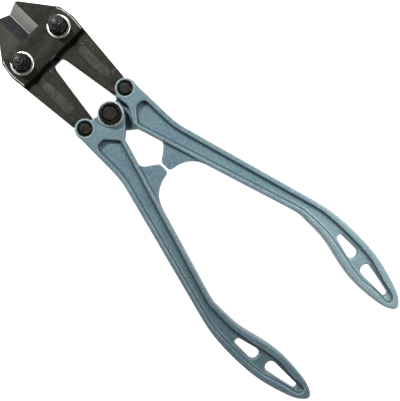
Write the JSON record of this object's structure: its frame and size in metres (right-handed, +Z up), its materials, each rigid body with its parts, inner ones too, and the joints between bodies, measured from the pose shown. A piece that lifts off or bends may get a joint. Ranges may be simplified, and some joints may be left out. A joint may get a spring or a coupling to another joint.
{
  "type": "bolt cutters",
  "caption": "Compound-lever bolt cutters lying closed: bevelled steel jaws in strap plates, pinned to cast I-beam handles with stop lugs and window grips.",
  "frame": {"origin": "centre of the closed tool's footprint, on the surface that it lies on", "axes": "+X from the jaws to the grips, +Y to the upper handle, +Z up through the front face"},
  "size_m": [0.6064, 0.2178, 0.0428],
  "materials": {
    "handle_paint": "satin blue-grey hammer paint on cast iron",
    "jaw_steel": "satin blackened forged steel, ground edge",
    "strap_steel": "satin blackened plate",
    "bolt_steel": "dark oiled steel",
    "washer_steel": "bright zinc-plated steel"
  },
  "bodies": {
    "strap_set": {"strap_front": "strap_steel", "strap_back": "strap_steel", "jaw_bolt_upper": "bolt_steel", "jaw_washer_upper": "washer_steel", "jaw_lock_ring_upper": "bolt_steel", "jaw_nut_upper": "bolt_steel", "jaw_bolt_lower": "bolt_steel", "jaw_washer_lower": "washer_steel", "jaw_lock_ring_lower": "bolt_steel", "jaw_nut_lower": "bolt_steel"},
    "upper_jaw": {"blade_upper": "jaw_steel"},
    "lower_jaw": {"blade_lower": "jaw_steel"},
    "upper_handle": {"handle_upper": "handle_paint", "toggle_pin_upper": "bolt_steel", "toggle_washer_upper": "washer_steel", "toggle_nut_upper": "bolt_steel"},
    "lower_handle": {"handle_lower": "handle_paint", "toggle_pin_lower": "bolt_steel", "toggle_washer_lower": "washer_steel", "toggle_nut_lower": "bolt_steel", "centre_bolt": "bolt_steel", "centre_washer": "bolt_steel", "centre_nut": "bolt_steel", "centre_lock_ring": "handle_paint"}
  },
  "joints": [
    {"name": "upper_jaw_pivot", "type": "hinge", "parent": "strap_set", "child": "upper_jaw", "pos_m": [-0.2399, 0.032, 0.0133], "axis": [0, 0, -1], "range_deg": [0, 6.6]},
    {"name": "lower_jaw_pivot", "type": "hinge", "parent": "strap_set", "child": "lower_jaw", "pos_m": [-0.2399, -0.032, 0.0133], "axis": [0, 0, 1], "range_deg": [0, 6.6]},
    {"name": "upper_handle_pivot", "type": "hinge", "parent": "upper_jaw", "child": "upper_handle", "pos_m": [-0.1284, 0.0353, 0.0133], "axis": [0, 0, 1], "range_deg": [0, 45]},
    {"name": "lower_handle_pivot", "type": "hinge", "parent": "lower_jaw", "child": "lower_handle", "pos_m": [-0.1284, -0.0353, 0.0133], "axis": [0, 0, -1], "range_deg": [0, 45]}
  ],
  "couplings": [
    {"joint": "upper_jaw_pivot", "follows": "upper_handle_pivot", "ratio": 0.145},
    {"joint": "lower_jaw_pivot", "follows": "upper_handle_pivot", "ratio": 0.145},
    {"joint": "lower_handle_pivot", "follows": "upper_handle_pivot", "ratio": 1}
  ]
}
